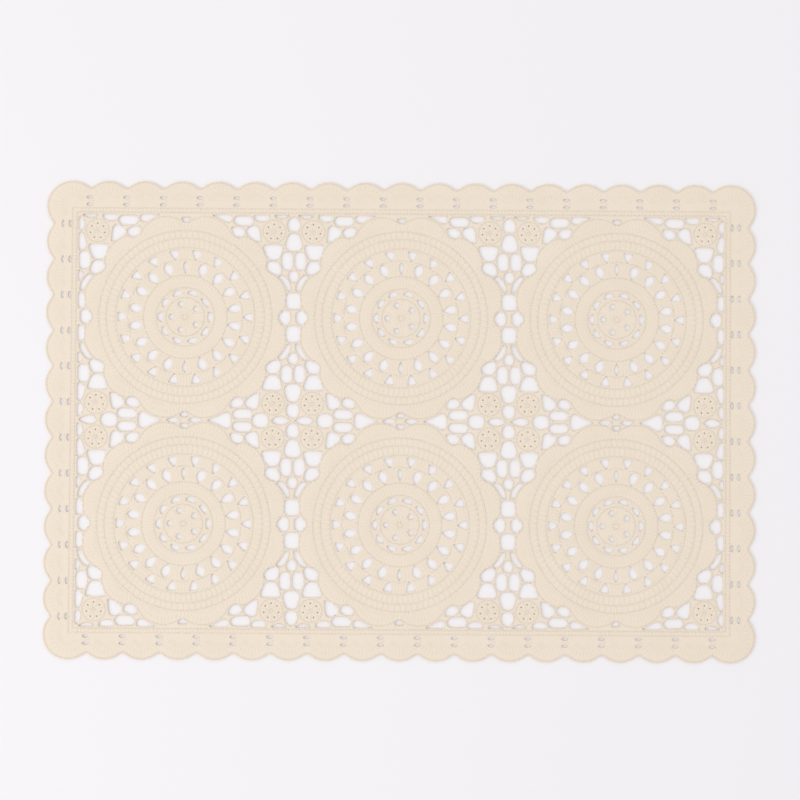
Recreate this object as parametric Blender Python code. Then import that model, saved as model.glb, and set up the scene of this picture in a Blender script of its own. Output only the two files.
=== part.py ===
# Openwork table mat: one flexible sheet, moulded in a crocheted lace pattern of six round medallions.
# Metres, +Z up. The mat lies on z = 0 with its middle over the origin and its long side along X.
import math
from collections import namedtuple

import bpy

# Whole sheet, over the tips of its scallops
MAT_LENGTH = 0.450
MAT_WIDTH = 0.303
MAT_THICKNESS = 0.0016

# Tiles, each with one medallion in its middle
COLUMNS = 3
ROWS = 2
TILE_LENGTH = 0.1368
TILE_WIDTH = 0.1308

# Scalloped edge: a corner lobe at each corner, and equal scallops along the sides between the lobes
LONG_SIDE_SCALLOPS = 17
SHORT_SIDE_SCALLOPS = 11
SCALLOP_RADIUS = 0.0152
SCALLOP_ANGLES = (-36.0, -12.0, 12.0, 36.0)
VALLEY_DEPTH = 0.0044
LOBE_RADIUS = 0.0160
LOBE_REACH = 0.0272  # from the sheet's end to the valley beside the corner lobe
LOBE_STEPS = 8

# Ring of radial ovals in each medallion
RING_OVALS = 18
RING_RADIUS = 0.0315
RING_OVAL_LENGTH = 0.0080
RING_OVAL_WIDTH = 0.0054
RING_OVAL_CORNERS = 6

# Net between the medallions. A place (u, v) is counted from the tile's middle. turn is in degrees, taper widens
# the gap's far end, and square runs from 1 for an oval down to 0.5 for a blunt block.
Gap = namedtuple("Gap", "name u v length width turn taper square")
GAP_CORNERS = 8
RIM_GAP_CORNERS = 6

# One of each in each quarter of a tile, mirrored about the tile's middle
QUARTER_GAPS = (
    Gap("roof", 0.0360, 0.0612, 0.0112, 0.0058, 0, 0.0, 0.8),
    Gap("shoulder", 0.0326, 0.0541, 0.0072, 0.0060, 150, 0.2, 0.8),
    Gap("keystone", 0.0553, 0.0410, 0.0084, 0.0096, 90, 0.5, 0.5),
    Gap("hip", 0.0559, 0.0312, 0.0082, 0.0076, 110, 0.0, 0.8),
    Gap("post", 0.0640, 0.0357, 0.0096, 0.0054, 90, 0.0, 0.8),
)

# At the tile's two ends, on its long middle line
END_GAPS = (
    Gap("eye", 0.0628, 0.0, 0.0094, 0.0062, 90, 0.0, 0.8),
)

# On the line where two rows of tiles meet, left and right of each tile's middle
ROW_LINE_GAPS = (
    Gap("wedge", 0.0221, TILE_WIDTH / 2, 0.0128, 0.0090, 0, 0.45, 0.8),
    Gap("door", 0.0478, TILE_WIDTH / 2, 0.0096, 0.0080, 0, 0.0, 0.7),
)

# On the line where two columns of tiles meet, above and below each tile's middle
COLUMN_LINE_GAPS = (
    Gap("drop", TILE_LENGTH / 2, 0.0480, 0.0096, 0.0092, -90, 0.25, 0.8),
    Gap("bead", TILE_LENGTH / 2, 0.0105, 0.0094, 0.0080, 90, 0.0, 0.8),
)

# The border's straight inner edge halves the line gaps that it meets, this far short of the tile line
RIM_GAPS = ("wedge", "door", "drop")
RIM_SETBACK = 0.0008

# Warm cream, soft and slightly shiny
CREAM = (0.83, 0.74, 0.61, 1.0)
CREAM_ROUGHNESS = 0.5


def clear_scene():
    for thing in list(bpy.context.scene.objects):
        bpy.data.objects.remove(thing, do_unlink=True)


def side_outline(run, reach, count, facing):
    # One side and the corner lobe after it, anticlockwise. run is the side's length, reach its distance from the
    # middle, and facing the direction that it faces, in degrees.
    first_valley = LOBE_REACH - run / 2
    pitch = -2 * first_valley / count
    points = []
    for number in range(count):
        valley = first_valley + number * pitch
        points.append((valley, reach - VALLEY_DEPTH))
        for degrees in SCALLOP_ANGLES:
            angle = math.radians(degrees)
            along = valley + pitch / 2 + SCALLOP_RADIUS * math.sin(angle)
            points.append((along, reach - SCALLOP_RADIUS * (1 - math.cos(angle))))
    points.append((-first_valley, reach - VALLEY_DEPTH))

    # The lobe's arc runs from this side's last valley to the next side's first
    start = math.atan2(LOBE_RADIUS - LOBE_REACH, LOBE_RADIUS - VALLEY_DEPTH)
    sweep = math.pi / 2 - 2 * start
    for step in range(1, LOBE_STEPS):
        angle = start + sweep * step / LOBE_STEPS
        along = run / 2 - LOBE_RADIUS + LOBE_RADIUS * math.sin(angle)
        points.append((along, reach - LOBE_RADIUS + LOBE_RADIUS * math.cos(angle)))

    across, up = math.cos(math.radians(facing)), math.sin(math.radians(facing))
    return [(out * across - along * up, out * up + along * across) for along, out in points]


def mat_outline():
    points = []
    for turn in (0, 180):
        points += side_outline(MAT_WIDTH, MAT_LENGTH / 2, SHORT_SIDE_SCALLOPS, turn)
        points += side_outline(MAT_LENGTH, MAT_WIDTH / 2, LONG_SIDE_SCALLOPS, turn + 90)
    return points


def blunt(value, square):
    return math.copysign(abs(value) ** square, value)


def gap_outline(gap, corners):
    # A many-sided oval with the area of the true one
    swell = math.sqrt(2 * math.pi / (corners * math.sin(2 * math.pi / corners)))
    turn = math.radians(gap.turn)
    points = []
    for corner in range(corners):
        angle = 2 * math.pi * (corner + 0.5) / corners
        far = blunt(math.cos(angle), gap.square)
        side = blunt(math.sin(angle), gap.square) * (1 + gap.taper * far)
        along = gap.length / 2 * swell * far
        across = gap.width / 2 * swell * side
        u = gap.u + along * math.cos(turn) - across * math.sin(turn)
        v = gap.v + along * math.sin(turn) + across * math.cos(turn)
        points.append((u, v))
    return points


def half_gap_outline(gap, corners):
    # The half of a line gap that is left inside the border: an arch on the border's straight inner edge
    turn = math.radians(gap.turn)
    on_row_line = gap.name in {line_gap.name for line_gap in ROW_LINE_GAPS}
    points = []
    for corner in range(corners):
        angle = math.pi * corner / (corners - 1)
        far = blunt(math.cos(angle), gap.square)
        side = abs(blunt(math.sin(angle), gap.square)) * (1 + gap.taper * far)
        depth = (gap.width / 2 - RIM_SETBACK) * side
        if on_row_line:
            points.append((gap.u + gap.length / 2 * far * math.cos(turn), gap.v - RIM_SETBACK - depth))
        else:
            points.append((gap.u - RIM_SETBACK - depth, gap.v + gap.length / 2 * far * math.sin(turn)))
    return points


def mirrored(points, flip_u, flip_v):
    return [(u * flip_u, v * flip_v) for u, v in points]


def moved(points, x, y):
    return [(x + u, y + v) for u, v in points]


def tile_middles():
    for column in range(COLUMNS):
        for row in range(ROWS):
            x = (column - (COLUMNS - 1) / 2) * TILE_LENGTH
            y = (row - (ROWS - 1) / 2) * TILE_WIDTH
            yield x, y


def ring_ovals():
    # Radial ovals, the first of them straight up
    outlines = []
    for number in range(RING_OVALS):
        turn = 90 + 360 * number / RING_OVALS
        u = RING_RADIUS * math.cos(math.radians(turn))
        v = RING_RADIUS * math.sin(math.radians(turn))
        oval = Gap("oval", u, v, RING_OVAL_LENGTH, RING_OVAL_WIDTH, turn, 0.0, 0.9)
        outlines.append(gap_outline(oval, RING_OVAL_CORNERS))
    return outlines


def tile_gaps():
    # The gaps that lie inside one tile
    outlines = ring_ovals()
    for gap in QUARTER_GAPS:
        outline = gap_outline(gap, GAP_CORNERS)
        for flip_u in (1, -1):
            for flip_v in (1, -1):
                outlines.append(mirrored(outline, flip_u, flip_v))
    for gap in END_GAPS:
        outline = gap_outline(gap, GAP_CORNERS)
        for flip_u in (1, -1):
            outlines.append(mirrored(outline, flip_u, 1))
    return outlines


def line_gaps(x, y):
    # The gaps on the lines round one tile: whole ones where another tile follows, halved ones at the border
    outlines = []
    last_x = (COLUMNS - 1) / 2 * TILE_LENGTH
    last_y = (ROWS - 1) / 2 * TILE_WIDTH
    for flip_u in (1, -1):
        for flip_v in (1, -1):
            at_end = x * flip_u > last_x - TILE_LENGTH / 2
            at_side = y * flip_v > last_y - TILE_WIDTH / 2
            for gap in ROW_LINE_GAPS:
                if at_side and gap.name in RIM_GAPS:
                    outline = half_gap_outline(gap, RIM_GAP_CORNERS)
                    outlines.append(mirrored(outline, flip_u, flip_v))
                elif not at_side and flip_v > 0:
                    outlines.append(mirrored(gap_outline(gap, GAP_CORNERS), flip_u, flip_v))
            for gap in COLUMN_LINE_GAPS:
                if at_end and gap.name in RIM_GAPS:
                    outline = half_gap_outline(gap, RIM_GAP_CORNERS)
                    outlines.append(mirrored(outline, flip_u, flip_v))
                elif not at_end and flip_u > 0:
                    outlines.append(mirrored(gap_outline(gap, GAP_CORNERS), flip_u, flip_v))
    return outlines


def all_gaps():
    outlines = []
    for x, y in tile_middles():
        for outline in tile_gaps() + line_gaps(x, y):
            outlines.append(moved(outline, x, y))
    return outlines


def add_outline(curve, points):
    spline = curve.splines.new("POLY")
    spline.points.add(len(points) - 1)
    for place, (x, y) in zip(spline.points, points):
        place.co = (x, y, 0.0, 1.0)
    spline.use_cyclic_u = True


def cream_material():
    material = bpy.data.materials.new("cream_vinyl")
    material.use_nodes = True
    shader = material.node_tree.nodes["Principled BSDF"]
    shader.inputs["Base Color"].default_value = CREAM
    shader.inputs["Roughness"].default_value = CREAM_ROUGHNESS
    shader.inputs["Metallic"].default_value = 0.0
    material.diffuse_color = CREAM
    return material


def make_mat():
    curve = bpy.data.curves.new("mat", "CURVE")
    curve.dimensions = "2D"
    curve.fill_mode = "BOTH"
    curve.extrude = MAT_THICKNESS / 2
    add_outline(curve, mat_outline())
    for outline in all_gaps():
        add_outline(curve, outline)
    curve.materials.append(cream_material())

    mat = bpy.data.objects.new("mat", curve)
    mat.location.z = MAT_THICKNESS / 2
    bpy.context.scene.collection.objects.link(mat)


clear_scene()
make_mat()
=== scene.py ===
import math
import random
from collections import namedtuple

import bmesh
import bpy
import numpy as np
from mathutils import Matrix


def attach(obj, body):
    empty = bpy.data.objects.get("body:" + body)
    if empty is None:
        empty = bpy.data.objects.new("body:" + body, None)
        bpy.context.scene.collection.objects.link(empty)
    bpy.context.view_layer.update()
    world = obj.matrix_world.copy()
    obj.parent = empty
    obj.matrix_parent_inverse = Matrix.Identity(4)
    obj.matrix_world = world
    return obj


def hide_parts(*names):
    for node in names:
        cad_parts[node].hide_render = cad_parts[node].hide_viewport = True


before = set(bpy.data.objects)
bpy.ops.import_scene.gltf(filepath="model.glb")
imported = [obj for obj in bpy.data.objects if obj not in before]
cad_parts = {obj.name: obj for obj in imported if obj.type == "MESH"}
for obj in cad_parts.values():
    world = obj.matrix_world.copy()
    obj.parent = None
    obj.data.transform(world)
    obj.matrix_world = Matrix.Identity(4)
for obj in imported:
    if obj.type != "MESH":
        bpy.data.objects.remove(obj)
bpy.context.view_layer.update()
mm = 0.001

# How the mat is laid out, as in the solid: tiles of one medallion each, inside a scalloped border
tile = {
    "columns": 3,
    "rows": 2,
    "length": 136.8 * mm,
    "width": 130.8 * mm,
}
field = {
    "length": tile["columns"] * tile["length"],
    "width": tile["rows"] * tile["width"],
    "setback": 0.8 * mm,  # the border's straight inner edge lies this far inside the outer tile lines
}


def deselectAll():
    bpy.ops.object.select_all(action="DESELECT")


def makeActive(piece):
    deselectAll()
    piece.select_set(True)
    bpy.context.view_layer.objects.active = piece


def turned(x, y, degrees):
    angle = math.radians(degrees)
    return x * math.cos(angle) - y * math.sin(angle), x * math.sin(angle) + y * math.cos(angle)


def polar(radius, degrees):
    return turned(radius, 0, degrees)


def tileMiddles():
    middles = []
    for row in range(tile["rows"]):
        for column in range(tile["columns"]):
            x = (column - (tile["columns"] - 1) / 2) * tile["length"]
            y = (row - (tile["rows"] - 1) / 2) * tile["width"]
            middles.append((x, y))
    return middles


def joined(pieces, name):
    makeActive(pieces[0])
    for piece in pieces:
        piece.select_set(True)
    bpy.ops.object.join()
    whole = bpy.context.view_layer.objects.active
    whole.name = name
    whole.data.name = name
    return whole


def copiesAt(part, stitches, name):
    # an array of one small part, joined into one mesh with its thread map
    mesh = part.data
    points = np.empty(len(mesh.vertices) * 3)
    mesh.vertices.foreach_get("co", points)
    points = points.reshape(-1, 3)
    faces = [list(face.vertices) for face in mesh.polygons]
    threadMap = np.empty(len(mesh.loops) * 2)
    mesh.uv_layers.active.data.foreach_get("uv", threadMap)

    allPoints, allFaces = [], []
    for number, stitch in enumerate(stitches):
        cosine, sine = math.cos(math.radians(stitch.turn)), math.sin(math.radians(stitch.turn))
        along, across = points[:, 0] * stitch.length, points[:, 1] * stitch.width
        moved = np.empty_like(points)
        moved[:, 0] = stitch.x + along * cosine - across * sine
        moved[:, 1] = stitch.y + along * sine + across * cosine
        moved[:, 2] = thread["middle"] + points[:, 2] * stitch.height
        allPoints.append(moved)
        first = number * len(points)
        allFaces += [[first + corner for corner in face] for face in faces]

    many = bpy.data.meshes.new(name)
    many.from_pydata(np.concatenate(allPoints).tolist(), [], allFaces)
    many.uv_layers.new(name="thread").data.foreach_set("uv", np.tile(threadMap, len(stitches)))
    many.shade_smooth()
    piece = bpy.data.objects.new(name, many)
    bpy.context.scene.collection.objects.link(piece)
    return piece


# Camera: nearly straight down, as the photo was taken
view = {
    "place": (-0.0036, -0.0172, 1.1970),
    "turn": (1.476, -0.168, 0.376),  # degrees
    "lens": 85,
    "sensor": 36,
    "farLimit": 20,
}


def makeCamera():
    bpy.ops.object.camera_add(location=view["place"], rotation=[math.radians(turn) for turn in view["turn"]])
    camera = bpy.context.object
    camera.data.lens = view["lens"]
    camera.data.sensor_width = view["sensor"]
    camera.data.clip_end = view["farLimit"]
    bpy.context.scene.camera = camera


makeCamera()
print("camera placed")


# The sheet: one moulded web with every gap cut through it and its edges rounded like thread
web = {
    "bottom": 0.10 * mm,
    "top": 1.36 * mm,
    "edgeRound": 0.18 * mm,
    "edgeSteps": 1,
    "matLength": 450.0 * mm,
    "matWidth": 303.0 * mm,
    "mergeWithin": 0.001 * mm,
    "smoothUpTo": 50,  # degrees between two faces
}
scallop = {
    "longSide": 17,  # between the corner lobes
    "shortSide": 11,
    "radius": 15.2 * mm,
    "valleyDepth": 4.4 * mm,
    "halfSweep": 40,  # degrees of true arc each side of the tip
    "arcSteps": 8,
    "lobeRadius": 16.0 * mm,
    "lobeReach": 27.2 * mm,
    "lobeSteps": 22,
}

# Corners of the net's gaps, in millimetres right and up from the tile's middle, for one quarter of a tile
quarterGaps = {
    "roof": [(30.3, 61.3), (31.7, 64.0), (41.2, 64.0), (42.7, 61.3), (41.0, 58.5), (32.6, 58.7)],
    "shoulder": [(28.9, 56.9), (34.0, 57.2), (37.2, 54.9), (36.6, 52.0), (33.3, 50.6), (30.1, 52.7)],
    "sail": [(43.8, 58.4), (46.0, 57.0), (47.2, 47.8), (43.8, 48.7), (39.5, 52.2), (38.4, 54.6),
             (39.6, 57.0)],
    "keystone": [(48.7, 45.8), (61.8, 45.8), (59.5, 38.9), (57.8, 36.9), (53.0, 36.9), (50.9, 39.5)],
    "hip": [(52.9, 35.4), (58.1, 35.4), (59.6, 32.8), (60.6, 29.1), (58.6, 27.1), (54.2, 27.9), (51.5, 31.1),
            (51.6, 33.8)],
    "post": [(62.1, 41.2), (66.4, 41.2), (67.5, 39.2), (67.4, 32.4), (66.2, 30.6), (62.1, 30.7), (61.0, 33.4),
             (60.9, 38.8)],
    "crescent": [(60.7, 27.1), (63.4, 25.2), (65.9, 21.4), (66.8, 16.9), (64.9, 17.2), (62.9, 21.0),
                 (60.6, 23.9), (58.8, 25.6)],
}

# Gaps on the line between two rows of tiles: distance along the line and half height, from tip to tip
rowLineGaps = {
    "seed": [(3.0, 0.0), (4.8, 1.3), (6.7, 1.6), (8.9, 1.3), (11.0, 0.0)],
    "wedge": [(14.4, 0.0), (20.0, 1.7), (24.0, 3.9), (26.8, 5.0), (28.7, 3.6), (29.0, 0.0)],
    "door": [(42.9, 0.0), (43.9, 3.1), (46.4, 4.1), (50.0, 4.1), (52.0, 3.0), (52.9, 0.0)],
    "leaf": [(55.3, 0.0), (58.0, 1.9), (61.0, 2.4), (64.0, 1.4), (66.8, 0.0)],
}

# Gaps on the line between two columns of tiles: distance up the line and half width
columnLineGaps = {
    "bead": [(5.6, 0.0), (5.8, 3.5), (7.9, 4.4), (13.0, 4.4), (15.1, 3.7), (15.3, 0.0)],
    "funnel": [(22.6, 0.0), (23.1, 1.8), (26.4, 3.1), (29.0, 2.0), (29.6, 0.0)],
    "drop": [(42.4, 0.0), (42.8, 3.4), (45.3, 5.1), (48.6, 4.4), (52.6, 2.9), (53.4, 0.0)],
    "knot": [(55.0, 0.0), (55.4, 3.0), (58.9, 3.9), (62.4, 2.6), (63.8, 0.0)],
}

# Gaps on a tile's own middle lines, between two lobes
middleGaps = {
    "eye": {
        "corners": [(59.6, -1.4), (61.5, -4.3), (64.0, -4.5), (66.2, -2.6), (66.2, 2.6), (64.0, 4.5),
                    (61.5, 4.3), (59.6, 1.4)],
        "flips": [(1, 1), (-1, 1)],
    },
    "bud": {
        "corners": [(-0.8, 60.3), (0.8, 60.3), (2.3, 61.6), (2.5, 62.9), (-2.5, 62.9), (-2.3, 61.6)],
        "flips": [(1, 1), (1, -1)],
    },
}

# Rings of gaps in each medallion: how many, their radius, the first one's direction, and half of one gap's
# outline, each corner given outwards and sideways from its middle
ringGaps = {
    "petal": {"count": 18, "radius": 31.6, "first": 90,
              "half": [(-4.9, 0.0), (-3.0, 1.7), (0.0, 3.0), (2.7, 2.4), (4.8, 0.0)]},
    "fan": {"count": 18, "radius": 39.5, "first": 100,
            "half": [(-3.9, 0.0), (-0.6, 2.0), (3.4, 3.2)]},
    "lens": {"count": 10, "radius": 15.7, "first": 0,
             "half": [(-1.8, 0.0), (-1.5, 1.8), (-0.5, 4.3), (1.9, 1.5), (2.1, 0.0)]},
    "dot": {"count": 5, "radius": 8.5, "first": 180,
            "half": [(-2.3, 0.0), (-1.4, 1.7), (1.1, 2.0), (2.3, 0.0)]},
}

# How the gaps are fitted, in millimetres
fitting = {
    "lowestHalf": 2.0,  # half gaps at the border that would be lower than this stay closed
    "borderTrim": 0.6,  # how far the half gaps stop short of the outer tile lines
    "fineness": 0.4,  # how far the net's gaps open beyond the corners given above
    "slimPetals": (0, 9),  # the two on the upright middle line
    "slimLength": 0.85,  # their share of the other petals' length and width
    "slimWidth": 0.55,
}

# A pair of slits at each valley of the scalloped edge: depth from the tips
slits = {
    "depths": (10.4, 14.9),
    "length": 4.6,
    "width": 2.3,
}

# The small disc in each corner of a tile, in millimetres: plump petals round a tiny ring, and a pinhole
# between each two petals
disc = {
    "place": (56.0, 54.5),
    "ring": {"radius": 7.3, "steps": 32},
    "middle": {"radius": 0.9, "steps": 8, "beadStep": 1.4},
    "petals": 7,
    "inner": 1.7,
    "outer": 6.1,
    "width": 2.5,
    "pinhole": {"radius": 4.7, "length": 1.1, "width": 0.8, "steps": 7},
}


def softCorners(corners, steps=3, share=0.22):
    # each corner becomes a short curve that starts and ends part of the way along its edges
    points = []
    for number, (x, y) in enumerate(corners):
        beforeX, beforeY = corners[number - 1]
        afterX, afterY = corners[(number + 1) % len(corners)]
        startX, startY = x + (beforeX - x) * share, y + (beforeY - y) * share
        endX, endY = x + (afterX - x) * share, y + (afterY - y) * share
        for step in range(steps):
            t = step / (steps - 1)
            near, mid, far = (1 - t) ** 2, 2 * t * (1 - t), t ** 2
            points.append((near * startX + mid * x + far * endX, near * startY + mid * y + far * endY))
    return points


def ringOutline(ring, number):
    # a gap that follows the curve of its ring
    middle = ring["first"] + 360 * number / ring["count"]
    half = ring["half"]
    if ring is ringGaps["petal"] and number in fitting["slimPetals"]:
        half = [(out * fitting["slimLength"], side * fitting["slimWidth"]) for out, side in half]
    whole = softCorners(half + [(out, -side) for out, side in reversed(half) if side > 0])
    radius = ring["radius"]
    return [polar(radius + out, middle + math.degrees(side / radius)) for out, side in whole]


def ovalOutline(length, width, steps=10):
    angles = [2 * math.pi * step / steps for step in range(steps)]
    return [(length / 2 * math.cos(angle), width / 2 * math.sin(angle)) for angle in angles]


def lineGap(profile, flat=None):
    # a whole gap mirrored about its line, or with flat the half that the border leaves
    if flat is None:
        return softCorners(profile + [(along, -high) for along, high in profile[-2:0:-1]])
    (start, _), (after, high) = profile[:2]
    (before, back), (end, _) = profile[-2:]
    start += (after - start) * flat / high
    end += (before - end) * flat / back
    return softCorners([(start, flat)] + profile[1:-1] + [(end, flat)])


def spread(outline, distance):
    # the outline pushed outwards, whichever way round it runs
    area = 0
    for number, (x, y) in enumerate(outline):
        beforeX, beforeY = outline[number - 1]
        area += beforeX * y - x * beforeY
    distance = math.copysign(distance, distance * area)
    wide = []
    for number, (x, y) in enumerate(outline):
        beforeX, beforeY = outline[number - 1]
        afterX, afterY = outline[(number + 1) % len(outline)]
        alongX, alongY = afterX - beforeX, afterY - beforeY
        length = math.hypot(alongX, alongY)
        wide.append((x + alongY / length * distance, y - alongX / length * distance))
    return wide


def ringGapCount():
    return sum(ring["count"] for ring in ringGaps.values())


def tileOutlines(x, y):
    # every gap of one tile, those of its rings first, and the line gaps that it shares with its neighbours
    outlines = []
    for ring in ringGaps.values():
        outlines += [ringOutline(ring, number) for number in range(ring["count"])]
    for corners in quarterGaps.values():
        soft = softCorners(corners)
        for flipX in (1, -1):
            for flipY in (1, -1):
                outlines.append([(u * flipX, v * flipY) for u, v in soft])
    for gap in middleGaps.values():
        for flipX, flipY in gap["flips"]:
            outlines.append([(u * flipX, v * flipY) for u, v in softCorners(gap["corners"])])

    halfLength, halfWidth = tile["length"] / 2 / mm, tile["width"] / 2 / mm
    for flipX in (1, -1):
        for flipY in (1, -1):
            atEnd = abs(x + flipX * tile["length"]) > field["length"] / 2
            atSide = abs(y + flipY * tile["width"]) > field["width"] / 2
            for profile in rowLineGaps.values():
                if atSide and max(high for along, high in profile) < fitting["lowestHalf"]:
                    continue
                if atSide:
                    half = lineGap(profile, fitting["borderTrim"])
                    outlines.append([(u * flipX, (halfWidth - high) * flipY) for u, high in half])
                elif flipY > 0:
                    outlines.append([(u * flipX, halfWidth + high) for u, high in lineGap(profile)])
            for profile in columnLineGaps.values():
                if atEnd:
                    half = lineGap(profile, fitting["borderTrim"])
                    outlines.append([((halfLength - wide) * flipX, v * flipY) for v, wide in half])
                elif flipX > 0:
                    outlines.append([(halfLength + wide, v * flipY) for v, wide in lineGap(profile)])
    rings = ringGapCount()
    outlines = outlines[:rings] + [spread(outline, fitting["fineness"]) for outline in outlines[rings:]]
    return [[(x + u * mm, y + v * mm) for u, v in outline] for outline in outlines]


def sides():
    # the four sides anticlockwise: length, distance from the middle, scallops and the way that each faces
    short = (web["matWidth"], web["matLength"] / 2, scallop["shortSide"])
    long = (web["matLength"], web["matWidth"] / 2, scallop["longSide"])
    return [short + (0,), long + (90,), short + (180,), long + (270,)]


def sidePitch(run, count):
    return (run - 2 * scallop["lobeReach"]) / count


def valleys(run, count):
    return [scallop["lobeReach"] - run / 2 + number * sidePitch(run, count) for number in range(count + 1)]


def onSide(along, out, facing):
    return turned(out, along, facing)


def rimOutline(inset=0.0):
    # the scalloped edge, or a line that runs inside it
    points = []
    radius, lobe = scallop["radius"], scallop["lobeRadius"]
    for run, reach, count, facing in sides():
        valleyOut = reach - scallop["valleyDepth"] - inset
        pitch = sidePitch(run, count)
        for valley in valleys(run, count)[:-1]:
            points.append(onSide(valley, valleyOut, facing))
            for step in range(scallop["arcSteps"] + 1):
                angle = math.radians(scallop["halfSweep"] * (2 * step / scallop["arcSteps"] - 1))
                along = valley + pitch / 2 + (radius - inset) * math.sin(angle)
                points.append(onSide(along, reach - radius + (radius - inset) * math.cos(angle), facing))
        points.append(onSide(-valleys(run, count)[0], valleyOut, facing))
        start = math.atan2(lobe - scallop["lobeReach"], lobe - scallop["valleyDepth"])
        sweep = math.pi / 2 - 2 * start
        for step in range(1, scallop["lobeSteps"]):
            angle = start + sweep * step / scallop["lobeSteps"]
            along = run / 2 - lobe + (lobe - inset) * math.sin(angle)
            points.append(onSide(along, reach - lobe + (lobe - inset) * math.cos(angle), facing))
    return points


def slitOutlines():
    outlines = []
    for run, reach, count, facing in sides():
        for valley in valleys(run, count):
            for depth in slits["depths"]:
                oval = ovalOutline(slits["length"] * mm, slits["width"] * mm)
                middle = reach - depth * mm
                outlines.append([onSide(valley + along, middle + out, facing) for along, out in oval])
    return outlines


def pinholeOutlines():
    outlines = []
    pinhole = disc["pinhole"]
    for tileX, tileY in tileMiddles():
        for flipX in (1, -1):
            for flipY in (1, -1):
                x, y = disc["place"][0] * mm * flipX, disc["place"][1] * mm * flipY
                for number in range(disc["petals"]):
                    turn = 90 + 360 * number / disc["petals"]
                    placeX, placeY = polar(pinhole["radius"] * mm, turn)
                    upright = ovalOutline(pinhole["length"] * mm, pinhole["width"] * mm, pinhole["steps"])
                    oval = [turned(u, v, turn) for u, v in upright]
                    outlines.append([(tileX + x + placeX + u, tileY + y + placeY + v) for u, v in oval])
    return outlines


def makeSheet():
    outlines = [rimOutline()] + slitOutlines() + pinholeOutlines()
    for x, y in tileMiddles():
        outlines += tileOutlines(x, y)
    curve = bpy.data.curves.new("matSheet", "CURVE")
    curve.dimensions = "2D"
    curve.fill_mode = "BOTH"
    curve.extrude = (web["top"] - web["bottom"]) / 2 - web["edgeRound"]
    curve.bevel_depth = web["edgeRound"]
    curve.bevel_resolution = web["edgeSteps"]
    curve.offset = -web["edgeRound"]  # the rounding stays inside the drawn outlines
    for outline in outlines:
        spline = curve.splines.new("POLY")
        spline.points.add(len(outline) - 1)
        for place, (x, y) in zip(spline.points, outline):
            place.co = (x, y, 0, 1)
        spline.use_cyclic_u = True
    sheet = bpy.data.objects.new("matSheet", curve)
    sheet.location.z = (web["top"] + web["bottom"]) / 2
    bpy.context.scene.collection.objects.link(sheet)
    makeActive(sheet)
    bpy.ops.object.convert(target="MESH")
    sheet = bpy.context.object
    bpy.ops.object.transform_apply(location=True, rotation=True, scale=True)
    bpy.ops.object.mode_set(mode="EDIT")
    bpy.ops.mesh.select_all(action="SELECT")
    bpy.ops.mesh.remove_doubles(threshold=web["mergeWithin"])
    bpy.ops.mesh.normals_make_consistent(inside=False)
    bpy.ops.object.mode_set(mode="OBJECT")
    bpy.ops.object.shade_smooth_by_angle(angle=math.radians(web["smoothUpTo"]))
    bpy.ops.object.modifier_add(type="WEIGHTED_NORMAL")  # keeps the flats flat beside their rounded edges
    sheet.modifiers[-1].keep_sharp = True
    bpy.ops.object.modifier_apply(modifier=sheet.modifiers[-1].name)
    return sheet


sheet = makeSheet()
print("sheet cut", len(sheet.data.polygons), "faces")


# The thread: every raised stitch is a copy of one plump strand or one bead of a twisted cord. Widths, steps
# and lengths are in millimetres, and the four heights in metres.
thread = {
    "middle": 0.8 * mm,  # half way up the mat
    "postHeight": 1.48 * mm,
    "rowHeight": 1.6 * mm,
    "cordHeight": 1.54 * mm,
    "cordWidth": 1.4,
    "cordStep": 1.7,
    "beadLength": 2.4,
    "beadSlant": 24,  # degrees, for the twist
    "tuck": 1.3,  # how far a strand runs on under the cords at its ends
    "netWidth": 0.68,
    "netStep": 1.8,
    "netSlant": 12,
    "netInset": 0.06,  # between a gap and the chain of beads round it
    "netApart": 1.25,  # beads of the net's chains lie no closer than this
    "clearance": 0.1,
    "wideShare": 0.36,  # how far out along a stitch, from its middle, it is still wide
    "shortestHalf": 0.5,
    "drawBack": 0.25,
    "waver": 30,  # degrees
    "unevenness": 0.06,
    "strand": {"rounds": 8, "rings": 5, "fullness": 1.32},
    "bead": {"rounds": 6, "rings": 4, "fullness": 1.1},
    "shoulders": (0.3, 0.45),  # the part near both ends, counted from the middle, that is filled out
    "shoulderStretch": 1.04,
}
Stitch = namedtuple("Stitch", "x y turn length width height")
chance = random.Random(11)


def pickPoints(test):
    shape = bmesh.from_edit_mesh(bpy.context.object.data)
    for point in shape.verts:
        point.select = test(point.co)
    shape.select_flush(True)
    shape.select_flush(False)
    bmesh.update_edit_mesh(bpy.context.object.data)


def makeStrand(name):
    # a plump strand along X, one unit long, wide and high, drawn out when it is placed
    shape = thread[name]
    fullness = shape["fullness"]
    near, far = thread["shoulders"]
    deselectAll()
    bpy.ops.mesh.primitive_uv_sphere_add(segments=shape["rounds"], ring_count=shape["rings"], radius=0.5,
                                         location=(0, 0, 0))
    strand = bpy.context.object
    strand.name = name
    bpy.ops.object.mode_set(mode="EDIT")
    bpy.ops.mesh.select_all(action="SELECT")
    bpy.ops.transform.rotate(value=math.pi / 2, orient_axis="Y", center_override=(0, 0, 0))
    bpy.ops.mesh.select_all(action="DESELECT")
    pickPoints(lambda point: near < abs(point.x) < far)
    stretch = thread["shoulderStretch"]
    bpy.ops.transform.resize(value=(stretch, fullness, fullness), center_override=(0, 0, 0))
    bpy.ops.mesh.select_all(action="SELECT")
    bpy.ops.mesh.normals_make_consistent(inside=False)
    bpy.ops.object.mode_set(mode="OBJECT")
    wide, high = strand.dimensions.y, strand.dimensions.z
    bpy.ops.object.mode_set(mode="EDIT")
    bpy.ops.transform.resize(value=(1, 1 / wide, 1 / high), center_override=(0, 0, 0))
    bpy.ops.object.mode_set(mode="OBJECT")
    return strand


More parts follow.
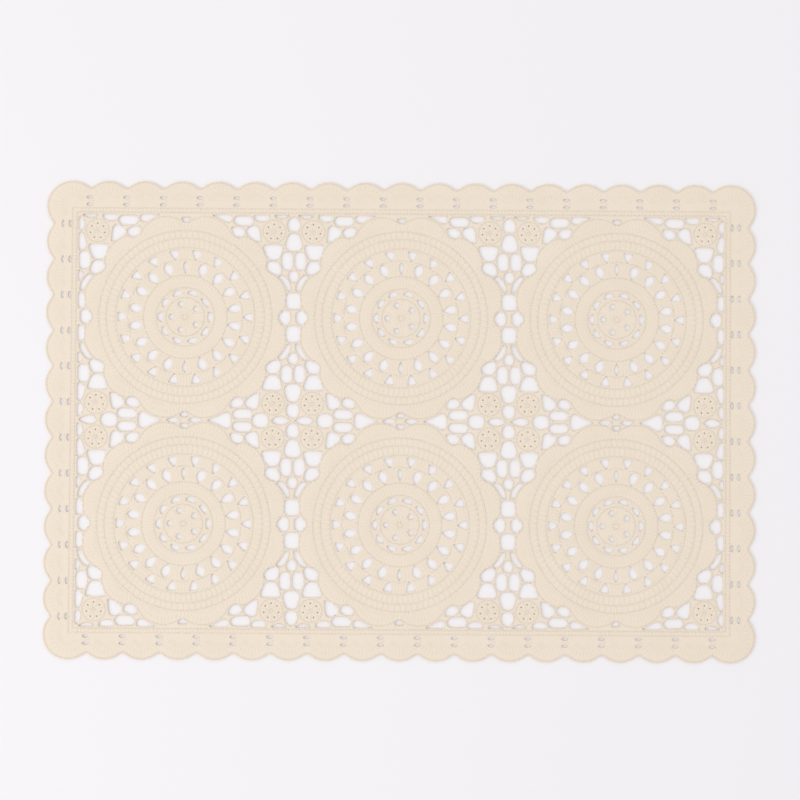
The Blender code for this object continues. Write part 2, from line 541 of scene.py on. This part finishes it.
def post(x, y, turn, length, width, height=None):
    # a little uneven, as crochet is
    wobble = thread["unevenness"]
    turn += chance.uniform(-thread["waver"], thread["waver"]) * wobble
    width *= 1 + chance.uniform(-1, 1) * wobble
    return Stitch(x * mm, y * mm, turn, length * mm, width * mm, height or thread["postHeight"])


def spoke(centre, direction, inner, outer, width, height=None):
    alongX, alongY = polar((inner + outer) / 2, direction)
    length = outer - inner + thread["tuck"]
    return post(centre[0] + alongX, centre[1] + alongY, direction, length, width, height)


def cordAlong(path, closed=True, step=None, width=None, slant=None):
    # beads at even steps along a path, each slanted to it
    path = list(path) + [path[0]] if closed else list(path)
    lengths = [math.dist(a, b) for a, b in zip(path, path[1:])]
    total = sum(lengths)
    count = max(2, round(total / (step or thread["cordStep"])))
    beads = []
    leg, passed = 0, 0.0
    for number in range(count):
        want = total * (number + 0.5) / count
        while passed + lengths[leg] < want:
            passed += lengths[leg]
            leg += 1
        (ax, ay), (bx, by) = path[leg], path[leg + 1]
        share = (want - passed) / lengths[leg]
        heading = math.degrees(math.atan2(by - ay, bx - ax))
        turn = heading + (thread["beadSlant"] if slant is None else slant)
        beads.append(post(ax + (bx - ax) * share, ay + (by - ay) * share, turn,
                          thread["beadLength"], width or thread["cordWidth"], thread["cordHeight"]))
    return beads


def circle(radius, centre=(0, 0), steps=72):
    return [(centre[0] + x, centre[1] + y) for x, y in (polar(radius, 360 * n / steps) for n in range(steps))]


# The round medallion, from its middle outwards, in millimetres and degrees
medallion = {
    "ridges": (1.6, 12.2, 18.6, 26.5, 44.1, 50.1, 54.9),
    "heart": {"count": 15, "inner": 1.8, "outer": 6.7, "width": 1.6},
    "betweenDots": {"offsets": (-15, 0, 15), "inner": 6.8, "outer": 12.2, "width": 2.0},
    "betweenLenses": {"offsets": (-3.1, 3.1), "inner": 12.2, "outer": 18.6, "width": 1.6},
    "longPosts": {"count": 72, "inner": 18.6, "outer": 26.5, "width": 1.9},
    "betweenPetals": {"offsets": (-3.1, 0, 3.1), "inner": 26.5, "outer": 36.4, "width": 1.7},
    "betweenFans": {"offsets": (-4.2, -1.4, 1.4, 4.2), "inner": 36.8, "outer": 44.1, "width": 1.85},
    "rows": {"count": 90, "width": 2.5, "bands": ((44.1, 50.1), (50.1, 54.9))},
    "valleys": {"count": 12, "offsets": (-5.6, -3.4, -1.2, 1.2, 3.4, 5.6), "inner": 54.9,
                "outers": (57.2, 58.4, 58.9, 58.9, 58.4, 57.2), "width": 2.0},
    "lobes": {"count": 12, "first": 15, "centre": 47.85, "radius": 18.45, "start": 54.9,
              "width": 1.95, "posts": (-47.5, -38, -28.5, -19, -9.5, 0, 9.5, 19, 28.5, 38, 47.5),
              "postInset": 1.1},
    "lobeEdge": {"sweep": 57.1, "sweepShare": 0.97, "inset": 0.85, "steps": 12},
    "petalChain": {"radius": 36.7, "dip": 0.1, "leans": (-7.5, -5, -2.5, 0, 2.5, 5, 7.5)},
}


def medallionPosts():
    posts = []
    heart, long, rows, lobes = (medallion[name] for name in ("heart", "longPosts", "rows", "lobes"))
    for number in range(heart["count"]):
        turn = 360 * number / heart["count"]
        posts.append(spoke((0, 0), turn, heart["inner"], heart["outer"], heart["width"]))
    for name, ring in (("betweenDots", "dot"), ("betweenLenses", "lens"), ("betweenPetals", "petal"),
                       ("betweenFans", "fan")):
        group, count = medallion[name], ringGaps[ring]["count"]
        for number in range(count):
            middle = ringGaps[ring]["first"] + 360 * (number + 0.5) / count
            for offset in group["offsets"]:
                posts.append(spoke((0, 0), middle + offset, group["inner"], group["outer"], group["width"]))
    for number in range(long["count"]):
        turn = 360 * (number + 0.5) / long["count"]
        posts.append(spoke((0, 0), turn, long["inner"], long["outer"], long["width"]))
    for shift, (inner, outer) in enumerate(rows["bands"]):
        for number in range(rows["count"]):
            turn = 360 * (number + shift / 2) / rows["count"]
            posts.append(spoke((0, 0), turn, inner, outer, rows["width"], thread["rowHeight"]))
    low = medallion["valleys"]
    for number in range(low["count"]):
        for offset, outer in zip(low["offsets"], low["outers"]):
            turn = 360 * number / low["count"] + offset
            posts.append(spoke((0, 0), turn, low["inner"], outer, low["width"]))
    for number in range(lobes["count"]):
        axis = lobes["first"] + 360 * number / lobes["count"]
        for lean in lobes["posts"]:
            # each post starts on the ridge and ends under the lobe's edge
            ahead, side = polar(lobes["centre"], lean)
            inner = math.sqrt(lobes["start"] ** 2 - side ** 2) - ahead
            outer = lobes["radius"] - lobes["postInset"]
            posts.append(spoke(polar(lobes["centre"], axis), axis + lean, inner, outer, lobes["width"]))
    return posts


def medallionCords():
    cords = []
    for radius in medallion["ridges"]:
        cords += cordAlong(circle(radius))
    lobes, edge = medallion["lobes"], medallion["lobeEdge"]
    for number in range(lobes["count"]):
        axis = lobes["first"] + 360 * number / lobes["count"]
        centreX, centreY = polar(lobes["centre"], axis)
        arc = []
        for step in range(edge["steps"] + 1):
            lean = edge["sweep"] * (2 * step / edge["steps"] - 1) * edge["sweepShare"]
            x, y = polar(lobes["radius"] - edge["inset"], axis + lean)
            arc.append((centreX + x, centreY + y))
        cords += cordAlong(arc, closed=False)
    petals, chain = ringGaps["petal"], medallion["petalChain"]
    for number in range(petals["count"]):
        # a chain runs over each petal from fan to fan
        axis = petals["first"] + 360 * number / petals["count"]
        arc = [polar(chain["radius"] - chain["dip"] * abs(lean), axis + lean) for lean in chain["leans"]]
        cords += cordAlong(arc, closed=False, width=thread["netWidth"])
    return cords


def discPosts(flipX, flipY):
    centre = (disc["place"][0] * flipX, disc["place"][1] * flipY)
    step = 360 / disc["petals"]
    posts = []
    for number in range(disc["petals"]):
        turn = 90 + step * (number + 0.5)
        posts.append(spoke(centre, turn, disc["inner"], disc["outer"], disc["width"], thread["rowHeight"]))
    return posts


def discCords(flipX, flipY):
    centre = (disc["place"][0] * flipX, disc["place"][1] * flipY)
    ring, middle = disc["ring"], disc["middle"]
    cords = cordAlong(circle(ring["radius"], centre, ring["steps"]))
    return cords + cordAlong(circle(middle["radius"], centre, middle["steps"]), step=middle["beadStep"])


def inGap(x, y, gaps):
    for (left, right, low, high), outline in gaps:
        if left < x < right and low < y < high:
            inside = False
            for number, (ax, ay) in enumerate(outline):
                bx, by = outline[number - 1]
                if (ay > y) != (by > y) and x < (bx - ax) * (y - ay) / (by - ay) + ax:
                    inside = not inside
            if inside:
                return True
    return False


def clearOfGaps(stitches, outlines):
    # a stitch whose end would hang over a gap is drawn back, and one whose middle would is left out
    gaps = []
    for outline in outlines:
        outline = spread(outline, thread["clearance"] * mm)
        across, up = [x for x, y in outline], [y for x, y in outline]
        gaps.append(((min(across), max(across), min(up), max(up)), outline))
    share, shortest, drawn = thread["wideShare"], thread["shortestHalf"] * mm, thread["drawBack"] * mm

    def hangsOver(stitch, alongX, alongY, end):
        return inGap(stitch.x + alongX * end * 2 * share, stitch.y + alongY * end * 2 * share, gaps)

    kept = []
    for stitch in stitches:
        alongX, alongY = turned(1, 0, stitch.turn)
        near, far = -stitch.length / 2, stitch.length / 2
        if inGap(stitch.x, stitch.y, gaps):
            continue
        while near < -shortest and hangsOver(stitch, alongX, alongY, near):
            near += drawn
        while far > shortest and hangsOver(stitch, alongX, alongY, far):
            far -= drawn
        middle = (near + far) / 2
        x, y = stitch.x + alongX * middle, stitch.y + alongY * middle
        kept.append(stitch._replace(x=x, y=y, length=far - near))
    return kept


def netCords(taken):
    # a chain of beads round every gap of the net, left out where a thread already lies
    placed = [(bead.x, bead.y) for bead in taken]
    chains = []
    step, width, slant = thread["netStep"], thread["netWidth"], thread["netSlant"]
    for x, y in tileMiddles():
        for outline in tileOutlines(x, y)[ringGapCount():]:
            path = [(u / mm, v / mm) for u, v in spread(outline, (width / 2 + thread["netInset"]) * mm)]
            for bead in cordAlong(path, step=step, width=width, slant=slant):
                near = np.array(placed) - (bead.x, bead.y)
                if (np.hypot(near[:, 0], near[:, 1]) > thread["netApart"] * mm).all():
                    placed.append((bead.x, bead.y))
                    chains.append(bead)
    return chains


# The border, in millimetres: a fan in every scallop and corner lobe, a cord along the edge and a row of posts
# beside the field
border = {
    "fanDepth": 15.2,
    "fanLeans": (-54, -40.5, -27, -13.5, 0, 13.5, 27, 40.5, 54),
    "fanInner": 3.4,
    "fanOuter": 13.6,
    "fanWidth": 1.9,
    "lobeLeans": (-98, -84, -70, -56, -42, -28, -14, 0, 14, 28, 42, 56, 70, 84, 98),
    "lobeOuter": 14.4,
    "barLength": 7.0,  # between the two slits of a pair
    "barWidth": 2.2,
    "chainInset": 4.4,
    "edgeInset": 0.85,
    "ropeInset": 1.6,
    "rowPosts": {"step": 2.3, "length": 3.6, "width": 2.0, "inset": 3.0},
}


def fieldHalves():
    # from the middle to the border's straight inner edge
    return (field["length"] / 2 - field["setback"]) / mm, (field["width"] / 2 - field["setback"]) / mm


def borderPosts():
    posts = []
    halfLength, halfWidth = fieldHalves()
    fan, width = border["fanInner"], border["fanWidth"]
    for run, reach, count, facing in sides():
        run, reach = run / mm, reach / mm
        ends = [valley / mm for valley in valleys(run * mm, count)]
        for valley in ends:
            x, y = onSide(valley, reach - sum(slits["depths"]) / 2, facing)
            posts.append(post(x, y, facing + 90, border["barLength"], border["barWidth"]))
        for start, end in zip(ends, ends[1:]):
            centre = onSide((start + end) / 2, reach - border["fanDepth"], facing)
            for lean in border["fanLeans"]:
                posts.append(spoke(centre, facing + lean, fan, border["fanOuter"], width))
        lobe = scallop["lobeRadius"] / mm
        corner = onSide(run / 2 - lobe, reach - lobe, facing)
        for lean in border["lobeLeans"]:
            posts.append(spoke(corner, facing + 45 + lean, fan, border["lobeOuter"], width))
        row = border["rowPosts"]
        inner = halfLength if facing % 180 == 0 else halfWidth
        half = halfWidth if facing % 180 == 0 else halfLength
        steps = round(2 * half / row["step"])
        for number in range(steps):
            along = -half + 2 * half * (number + 0.5) / steps
            x, y = onSide(along, inner + row["inset"], facing)
            posts.append(post(x, y, facing, row["length"], row["width"]))
    return posts


def borderCords():
    cords = cordAlong([(x / mm, y / mm) for x, y in rimOutline(border["edgeInset"] * mm)])
    halfLength, halfWidth = fieldHalves()
    for inset, width in ((border["ropeInset"], None), (border["chainInset"], thread["netWidth"])):
        x, y = halfLength + inset, halfWidth + inset
        cords += cordAlong([(x, -y), (x, y), (-x, y), (-x, -y)], width=width)
    return cords


def makeStitches():
    strand = makeStrand("strand")
    bead = makeStrand("bead")
    oneTile = tileOutlines(0, 0)
    below = [[(x, -y) for x, y in outline] for outline in oneTile]
    beside = [[(-x, y) for x, y in outline] for outline in oneTile]
    gaps = oneTile + below + beside
    posts, cords = clearOfGaps(medallionPosts(), gaps), clearOfGaps(medallionCords(), gaps)
    first = [copiesAt(strand, posts, "medallionPosts"), copiesAt(bead, cords, "medallionCords")]
    pattern = joined(first, "medallionStitches")

    pieces, taken = [], []
    for number, (x, y) in enumerate(tileMiddles()):
        piece = pattern.copy()
        piece.data = pattern.data.copy()
        piece.name = f"medallion{number + 1}"
        bpy.context.scene.collection.objects.link(piece)
        piece.location = (x, y, 0)
        makeActive(piece)
        bpy.ops.object.transform_apply(location=True, rotation=False, scale=False)
        pieces.append(piece)
        taken += [cord._replace(x=cord.x + x, y=cord.y + y) for cord in cords]
    bpy.data.objects.remove(pattern, do_unlink=True)

    discs, rings = [], []
    for x, y in tileMiddles():
        for flipX in (1, -1):
            for flipY in (1, -1):
                discs += [one._replace(x=one.x + x, y=one.y + y) for one in discPosts(flipX, flipY)]
                rings += [one._replace(x=one.x + x, y=one.y + y) for one in discCords(flipX, flipY)]
    edges = borderCords()
    chains = netCords(taken + rings + edges)
    net = [copiesAt(strand, discs, "discPosts"), copiesAt(bead, rings + chains, "netChains")]
    pieces.append(joined(net, "netStitches"))
    edge = [copiesAt(strand, borderPosts(), "borderPosts"), copiesAt(bead, edges, "borderCords")]
    pieces.append(joined(edge, "borderStitches"))
    for part in (strand, bead):
        bpy.data.objects.remove(part, do_unlink=True)
    return pieces


stitchPieces = makeStitches()
print("stitches placed in", len(stitchPieces), "pieces")


# Cream soft plastic, moulded to look like cotton thread
vinyl = {
    "pale": (0.900, 0.803, 0.672, 1),
    "deep": (0.865, 0.750, 0.600, 1),
    "roughness": (0.42, 0.58),
    "mottle": 38,  # patches per metre
    "mottleDetail": 3,
    "mottleRoughness": 0.6,
    "grain": 2600,
    "grainDetail": 2,
    "grainRoughness": 0.5,
    "grainDepth": 0.06 * mm,
    "bandsAlong": 2,  # of the twist, on one stitch
    "bandsRound": 4,
    "bandScale": 0.6283,  # at which the wave texture has one band to a stitch
    "twistDepth": 0.12 * mm,
    "specular": 0.4,
}


def addNode(tree, kind, **values):
    node = tree.nodes.new(kind)
    for name, value in values.items():
        if name in node.inputs:
            node.inputs[name].default_value = value
        else:
            setattr(node, name, value)
    return node


def vinylMaterial(name, twisted):
    material = bpy.data.materials.new(name)
    material.use_nodes = True
    tree = material.node_tree
    shader = tree.nodes["Principled BSDF"]
    place = addNode(tree, "ShaderNodeTexCoord")

    patches = addNode(tree, "ShaderNodeTexNoise", Scale=vinyl["mottle"], Detail=vinyl["mottleDetail"],
                      Roughness=vinyl["mottleRoughness"])
    tint = addNode(tree, "ShaderNodeMix", data_type="RGBA")
    tint.inputs[6].default_value = vinyl["deep"]
    tint.inputs[7].default_value = vinyl["pale"]
    tree.links.new(place.outputs["Object"], patches.inputs["Vector"])
    tree.links.new(patches.outputs["Fac"], tint.inputs[0])
    tree.links.new(tint.outputs[2], shader.inputs["Base Color"])

    grain = addNode(tree, "ShaderNodeTexNoise", Scale=vinyl["grain"], Detail=vinyl["grainDetail"],
                    Roughness=vinyl["grainRoughness"])
    tree.links.new(place.outputs["Object"], grain.inputs["Vector"])
    sheen = addNode(tree, "ShaderNodeMapRange")
    sheen.inputs["To Min"].default_value, sheen.inputs["To Max"].default_value = vinyl["roughness"]
    tree.links.new(grain.outputs["Fac"], sheen.inputs["Value"])
    tree.links.new(sheen.outputs["Result"], shader.inputs["Roughness"])

    bump = addNode(tree, "ShaderNodeBump", Distance=vinyl["grainDepth"])
    tree.links.new(grain.outputs["Fac"], bump.inputs["Height"])
    if twisted:
        along = addNode(tree, "ShaderNodeUVMap", uv_map="thread")
        scale = (vinyl["bandsAlong"] * vinyl["bandScale"], vinyl["bandsRound"] * vinyl["bandScale"], 1)
        lay = addNode(tree, "ShaderNodeMapping", Scale=scale)
        strands = addNode(tree, "ShaderNodeTexWave", Scale=1, bands_direction="DIAGONAL")
        twist = addNode(tree, "ShaderNodeBump", Distance=vinyl["twistDepth"])
        tree.links.new(along.outputs["UV"], lay.inputs["Vector"])
        tree.links.new(lay.outputs["Vector"], strands.inputs["Vector"])
        tree.links.new(strands.outputs["Fac"], twist.inputs["Height"])
        tree.links.new(twist.outputs["Normal"], bump.inputs["Normal"])
    tree.links.new(bump.outputs["Normal"], shader.inputs["Normal"])
    shader.inputs["Specular IOR Level"].default_value = vinyl["specular"]
    return material


sheet.data.materials.append(vinylMaterial("creamVinylWeb", False))
threadVinyl = vinylMaterial("creamVinylThread", True)
for piece in stitchPieces:
    piece.data.materials.clear()
    piece.data.materials.append(threadVinyl)

for piece in [sheet] + stitchPieces:
    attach(piece, "root")
    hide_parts("mat")

print("cream vinyl laid on")


# The table top under the mat
tableTop = {
    "size": 16,
    "colour": (0.93, 0.92, 0.93, 1),
    "roughness": 0.9,
    "specular": 0.1,
}


def makeFloor():
    deselectAll()
    bpy.ops.mesh.primitive_plane_add(size=tableTop["size"], location=(0, 0, 0))
    floor = bpy.context.object
    floor.name = "floor"
    material = bpy.data.materials.new("paleFloor")
    material.use_nodes = True
    shader = material.node_tree.nodes["Principled BSDF"]
    shader.inputs["Base Color"].default_value = tableTop["colour"]
    shader.inputs["Roughness"].default_value = tableTop["roughness"]
    shader.inputs["Specular IOR Level"].default_value = tableTop["specular"]
    floor.data.materials.append(material)


makeFloor()

# Soft studio light: four low softboxes round the table, the strongest on the left, in a pale room
lights = {
    "softboxes": {
        "left": {"place": (-1.15, -0.30, 1.15), "power": 5.6},
        "right": {"place": (1.40, 0.55, 1.35), "power": 1.5},
        "front": {"place": (-0.45, -1.45, 1.35), "power": 1.3},
        "back": {"place": (0.20, 1.40, 1.35), "power": 2.0},
    },
    "size": 1.2,
    "colour": (1, 0.985, 0.995),
    "room": {"colour": (0.99, 0.98, 1.0, 1), "strength": 0.78},
}


def makeLights():
    for name, facts in lights["softboxes"].items():
        deselectAll()
        bpy.ops.object.light_add(type="AREA", location=facts["place"])
        lamp = bpy.context.object
        lamp.name = name
        lamp.data.shape = "DISK"
        lamp.data.size = lights["size"]
        lamp.data.energy = facts["power"]
        lamp.data.color = lights["colour"]
        x, y, z = facts["place"]
        lamp.rotation_euler = (math.atan2(math.hypot(x, y), z), 0, math.atan2(y, x) + math.pi / 2)
    world = bpy.data.worlds.new("room")
    bpy.context.scene.world = world
    world.use_nodes = True
    backdrop = world.node_tree.nodes["Background"]
    backdrop.inputs["Color"].default_value = lights["room"]["colour"]
    backdrop.inputs["Strength"].default_value = lights["room"]["strength"]
    bpy.context.scene.view_settings.view_transform = "Standard"


makeLights()
print("lights set")
